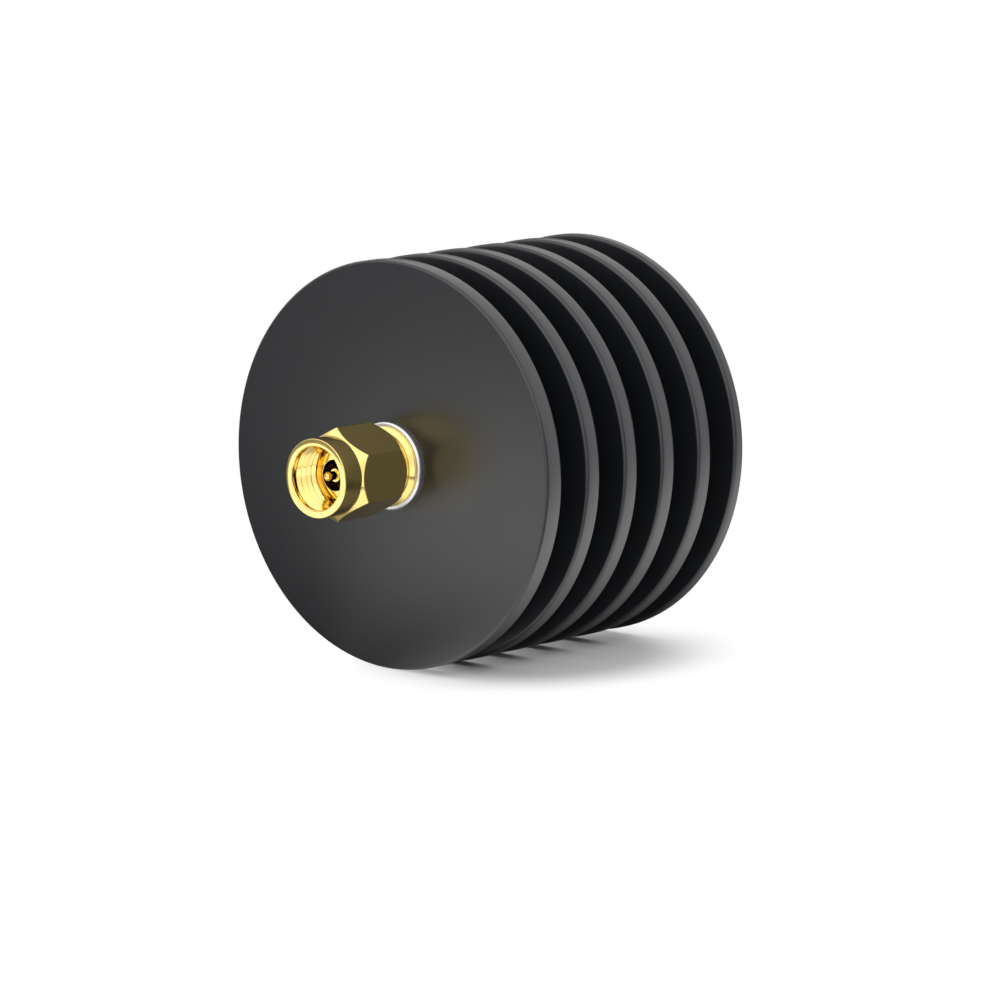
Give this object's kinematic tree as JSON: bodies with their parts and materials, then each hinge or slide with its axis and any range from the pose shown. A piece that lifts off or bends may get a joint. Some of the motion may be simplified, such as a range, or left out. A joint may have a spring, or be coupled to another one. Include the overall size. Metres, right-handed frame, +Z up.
{
  "type": "coaxial attenuator",
  "caption": "Coaxial attenuator: a black finned round heat sink with a gold screw-on plug at one end and a threaded jack at the other.",
  "frame": {"origin": "on the axis, at the mating plane of the input plug (the front face of its outer conductor)", "axes": "+Y along the axis from the input plug to the output jack, +Z up with the axis level, +X to the right when looking along +Y"},
  "size_m": [0.04, 0.0508, 0.04],
  "materials": {
    "anodised_black": "black anodised, fine turned satin",
    "gold_plate": "gold plate on turned brass",
    "spring_bronze": "bare spring bronze",
    "bright_nickel": "bright nickel plate",
    "nickel_plate": "dull nickel plate on copper",
    "screw_steel": "turned stainless steel",
    "silver_foil": "rolled silver foil",
    "insulator": "turned white fluoropolymer",
    "silicone": "moulded silicone",
    "ceramic": "fired ceramic with a thick film"
  },
  "bodies": {
    "attenuator": {"heatsink": "anodised_black", "plug_body": "gold_plate", "snap_ring": "spring_bronze", "nut_gasket": "silicone", "plug_pin": "gold_plate", "plug_bead": "insulator", "plug_bush": "gold_plate", "plug_washer": "bright_nickel", "carrier_lower": "nickel_plate", "carrier_upper": "nickel_plate", "carrier_screws": "screw_steel", "attenuator_chip": "ceramic", "input_lead": "silver_foil", "output_lead": "silver_foil", "jack_body": "gold_plate", "jack_socket": "gold_plate", "jack_bead": "insulator", "jack_bush": "gold_plate", "jack_washer": "bright_nickel"},
    "nut": {"coupling_nut": "gold_plate"}
  },
  "joints": [
    {"name": "nut_spin", "type": "hinge", "parent": "attenuator", "child": "nut", "pos_m": [0, 0.002, 0], "axis": [0, 1, 0], "continuous": true}
  ]
}
